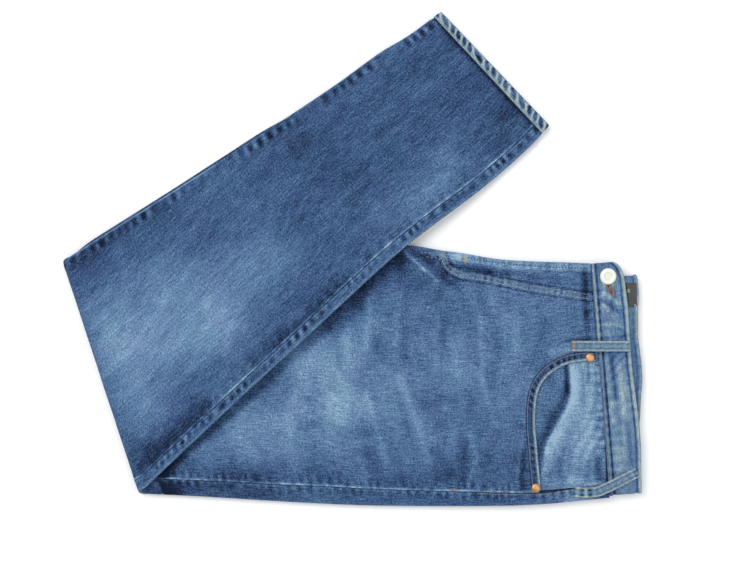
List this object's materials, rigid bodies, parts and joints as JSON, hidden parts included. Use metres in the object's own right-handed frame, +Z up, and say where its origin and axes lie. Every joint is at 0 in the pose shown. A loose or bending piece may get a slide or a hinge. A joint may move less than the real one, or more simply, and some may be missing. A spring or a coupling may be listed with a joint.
{
  "type": "tapered jeans",
  "caption": "Tapered denim jeans folded in half down the centre front and once more at the knee, lying flat.",
  "frame": {"origin": "centre of the bounding box, on the surface that the jeans lie on", "axes": "+X from the folded knee to the waistband, along the thigh; +Y towards the hem; +Z up"},
  "size_m": [0.5965, 0.5099, 0.0179],
  "materials": {
    "denim": "blue denim twill, faded on the thigh and at the knee",
    "denim_seam": "blue denim, several layers thick, worn pale along its edges and stitching",
    "button_enamel": "pale enamel on metal, smooth, with a dished middle",
    "rivet_copper": "copper, lightly polished",
    "label_black": "black woven label, bare"
  },
  "bodies": {
    "root": {"hidden_layers": "denim", "left_front_leg": "denim", "left_back_leg": "denim", "right_front_leg": "denim", "right_back_leg": "denim", "left_pocket_facing": "denim", "left_pocket_mouth": "denim_seam", "right_hem": "denim_seam", "left_hem": "denim_seam", "waistband": "denim_seam", "belt_loop_front": "denim_seam", "belt_loop_side": "denim_seam", "waist_button": "button_enamel", "rivet_waist": "rivet_copper", "rivet_side": "rivet_copper", "waist_label": "label_black"}
  },
  "joints": []
}
